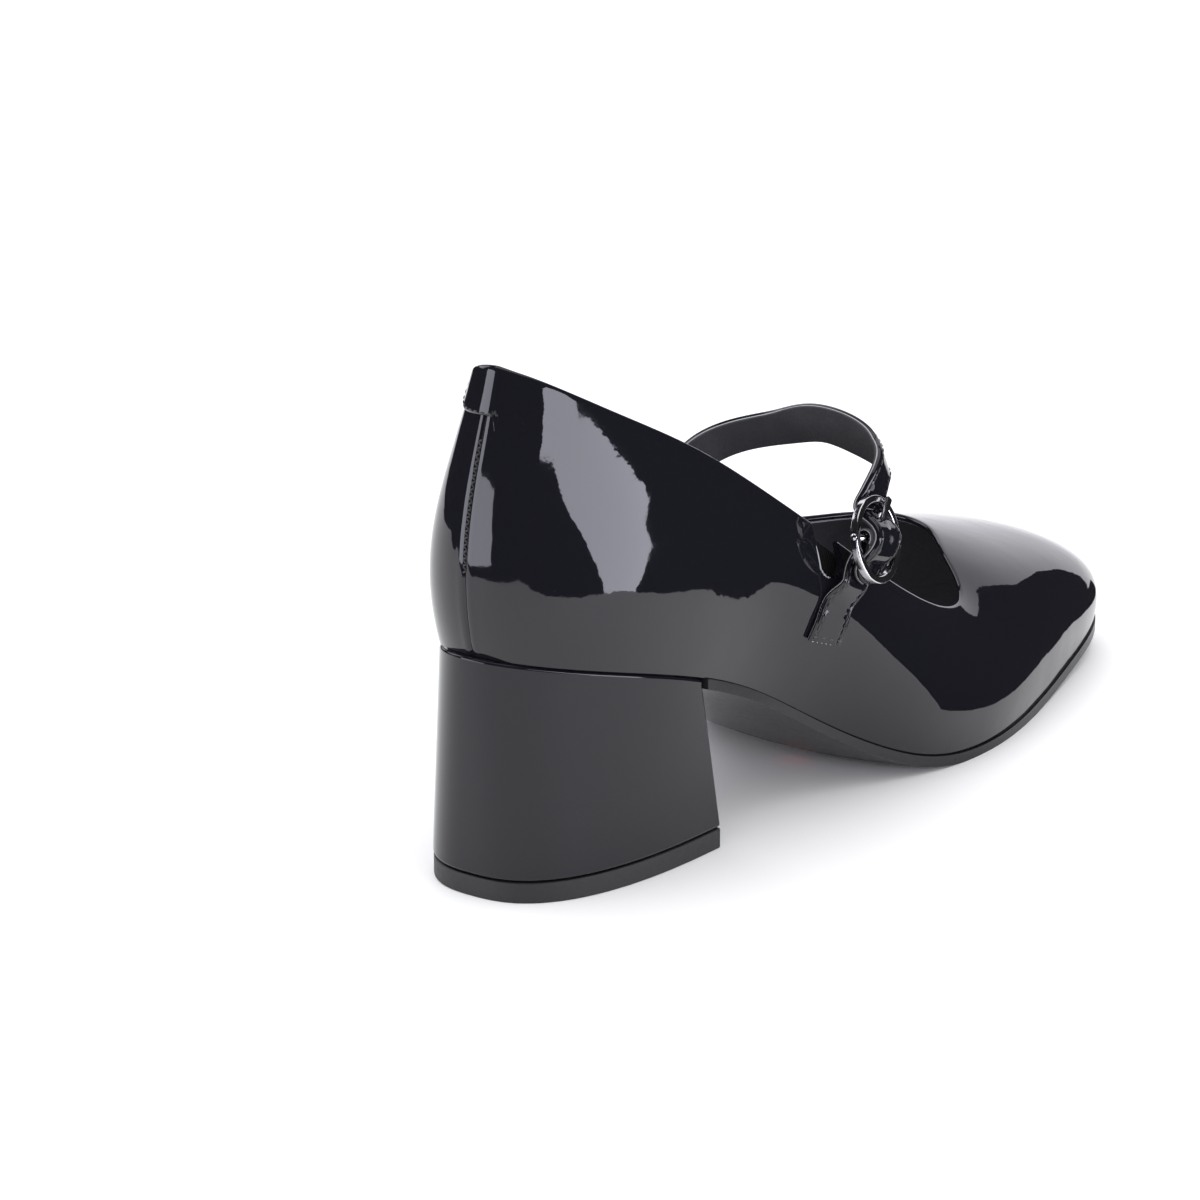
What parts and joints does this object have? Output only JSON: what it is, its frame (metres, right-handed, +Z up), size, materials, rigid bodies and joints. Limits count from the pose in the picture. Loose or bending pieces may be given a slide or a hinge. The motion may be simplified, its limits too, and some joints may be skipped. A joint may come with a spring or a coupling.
{
  "type": "mary jane pump",
  "caption": "Patent mary jane pump with a rounded toe, low-cut throat, block heel and an instep strap closed by an oval buckle on the outer side.",
  "frame": {"origin": "centre of the heel's resting face on the floor", "axes": "+X from heel to toe, +Y to the inner side of the foot, +Z up; the shoe stands on z = 0 on its heel and forefoot"},
  "size_m": [0.2447, 0.0831, 0.1189],
  "materials": {
    "patent": "black patent, mirror gloss",
    "lining": "matte black lining",
    "sole": "satin black",
    "lift": "matte black",
    "elastic": "black ribbed elastic and thread",
    "buckle": "polished dark nickel"
  },
  "bodies": {
    "root": {"outsole": "sole", "insole": "lining", "heel_block": "patent", "top_lift": "lift", "upper": "patent", "elastic_gore": "elastic", "instep_strap": "patent", "buckle_strap": "patent", "buckle_frame": "buckle", "buckle_prong": "buckle"}
  },
  "joints": []
}
